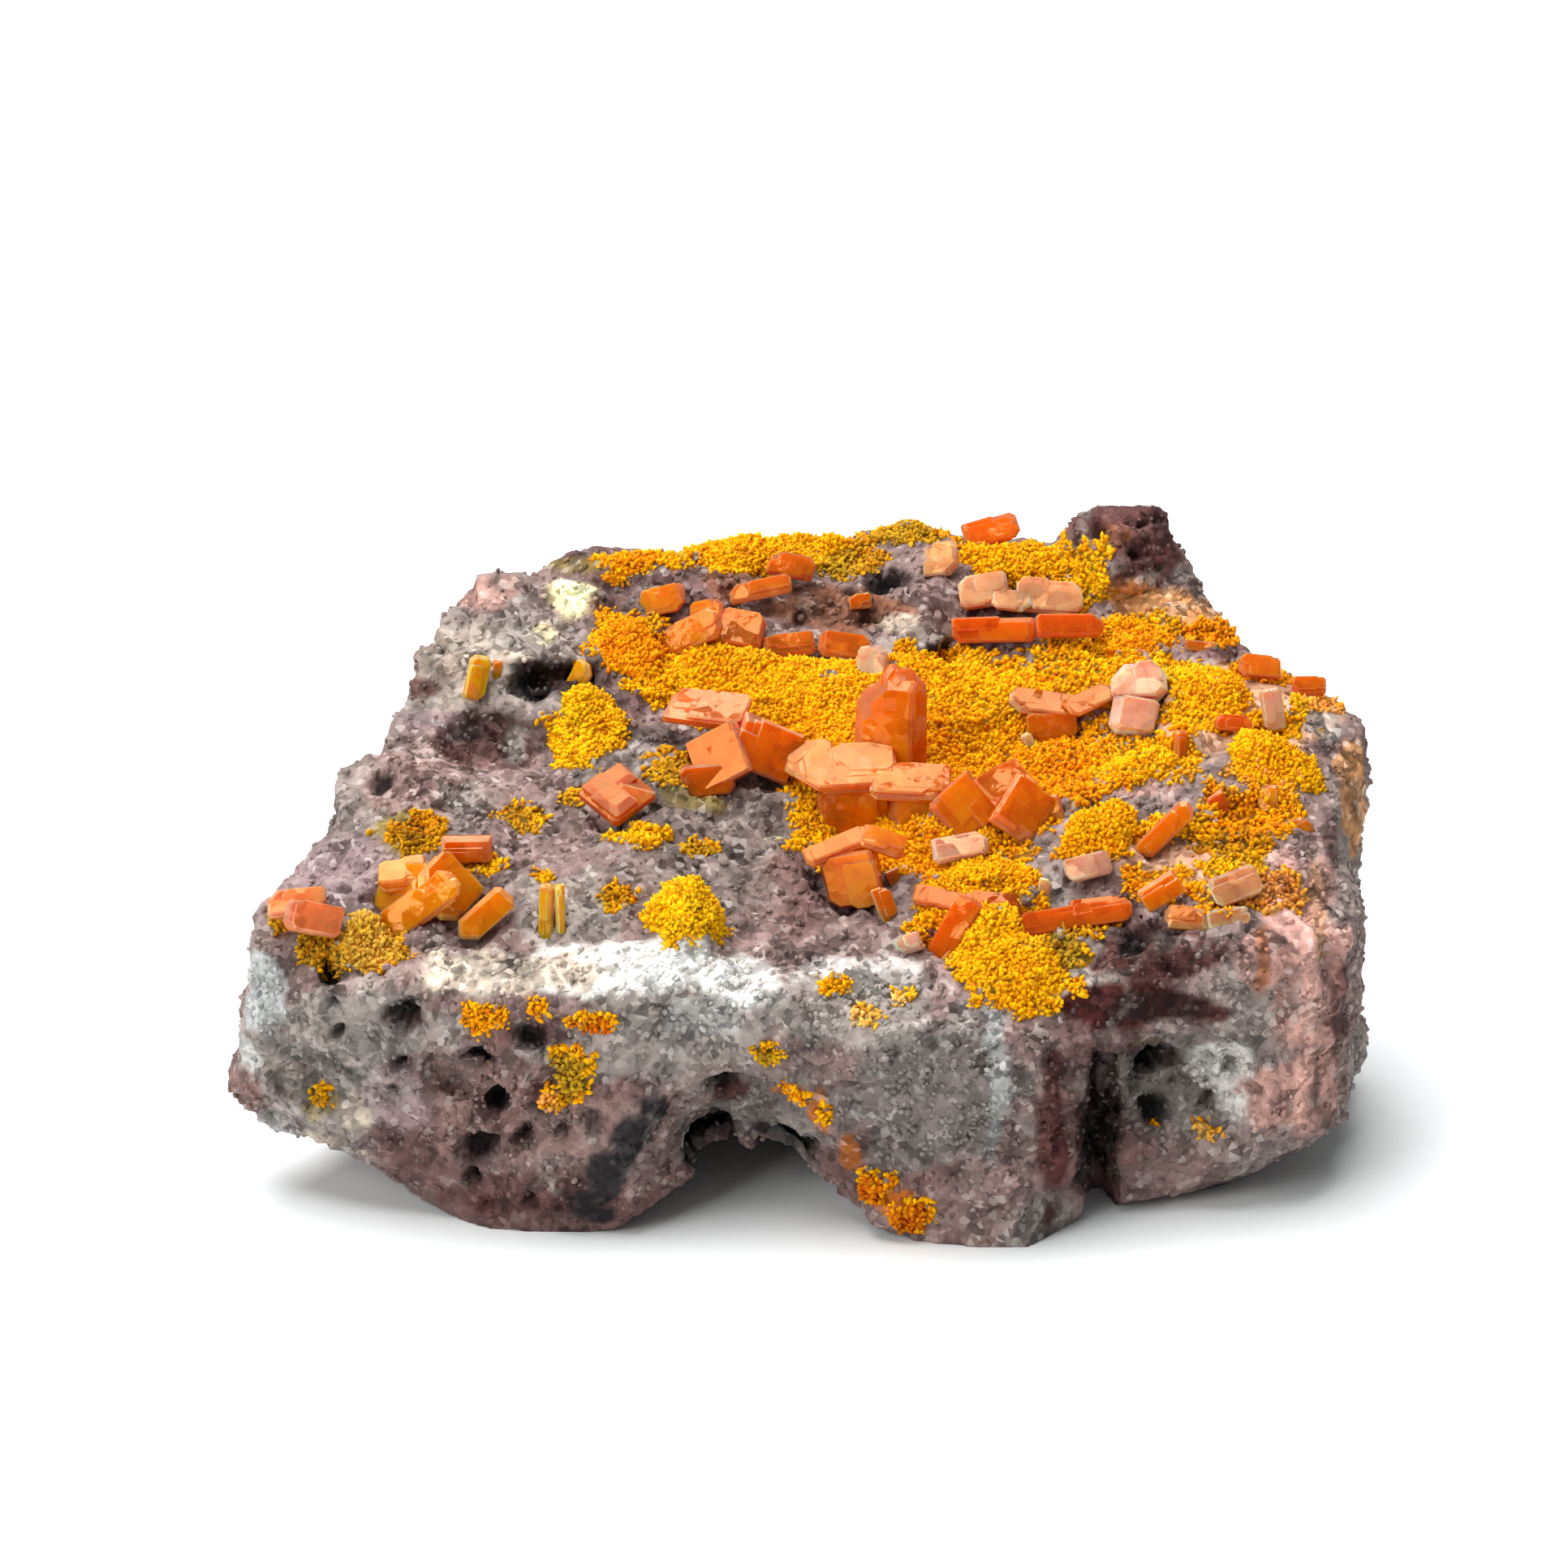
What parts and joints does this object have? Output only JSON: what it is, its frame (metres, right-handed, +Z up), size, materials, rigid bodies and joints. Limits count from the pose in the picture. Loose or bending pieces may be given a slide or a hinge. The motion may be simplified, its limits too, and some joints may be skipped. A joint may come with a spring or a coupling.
{
  "type": "wulfenite on matrix",
  "caption": "Hand specimen of veined purple-grey rock crusted with yellow botryoidal mimetite and set with orange tabular wulfenite crystals; it rests on its feet.",
  "frame": {"origin": "under the middle of the specimen, on the surface it rests on", "axes": "+X to the right of the crystal-bearing face as seen from the front, +Y to the back, +Z up"},
  "size_m": [0.0592, 0.0358, 0.0286],
  "materials": {
    "matrix": "rough broken rock, purple-grey with white quartz veins",
    "mimetite": "granular botryoidal crust, satin to resinous",
    "wulfenite": "translucent orange crystal, resinous to adamantine",
    "wulfenite_frosted": "pale pink-orange crystal, frosted"
  },
  "bodies": {
    "root": {"matrix_rock": "matrix", "mimetite_bowl": "mimetite", "mimetite_tongue": "mimetite", "mimetite_ball": "mimetite", "mimetite_left": "mimetite", "mimetite_upper_left": "mimetite", "mimetite_skyline_left": "mimetite", "mimetite_skyline": "mimetite", "mimetite_back": "mimetite", "mimetite_shoulder_back": "mimetite", "mimetite_shoulder": "mimetite", "mimetite_shoulder_front": "mimetite", "mimetite_pocket_rim": "mimetite", "mimetite_lip": "mimetite", "mimetite_shelf": "mimetite", "wulfenite_centre": "wulfenite", "wulfenite_front_block": "wulfenite", "wulfenite_brown_group": "wulfenite", "wulfenite_bipyramid": "wulfenite", "wulfenite_tablet": "wulfenite", "wulfenite_rosette": "wulfenite", "wulfenite_leaf": "wulfenite", "wulfenite_left_pair": "wulfenite", "wulfenite_yellow_blade": "wulfenite", "wulfenite_recess_blade": "wulfenite", "wulfenite_knob_blade": "wulfenite", "wulfenite_ridge_left": "wulfenite", "wulfenite_ridge_middle": "wulfenite", "wulfenite_ridge_right": "wulfenite", "wulfenite_bowl_back": "wulfenite", "wulfenite_skyline_left": "wulfenite", "wulfenite_back_lump": "wulfenite", "wulfenite_back_blade": "wulfenite", "wulfenite_back_block": "wulfenite", "wulfenite_skyline": "wulfenite", "wulfenite_pink_left": "wulfenite_frosted", "wulfenite_pink_right": "wulfenite_frosted", "wulfenite_long_back": "wulfenite", "wulfenite_short_back": "wulfenite", "wulfenite_boat": "wulfenite", "wulfenite_frosted": "wulfenite_frosted", "wulfenite_shoulder_flake": "wulfenite", "wulfenite_shoulder_blade": "wulfenite", "wulfenite_rim_right": "wulfenite", "wulfenite_rim_back": "wulfenite", "wulfenite_diagonal": "wulfenite", "wulfenite_lip_flake": "wulfenite", "wulfenite_arrow": "wulfenite", "wulfenite_long_front": "wulfenite", "wulfenite_front_chip": "wulfenite", "wulfenite_right_plate": "wulfenite", "wulfenite_peach": "wulfenite"}
  },
  "joints": []
}
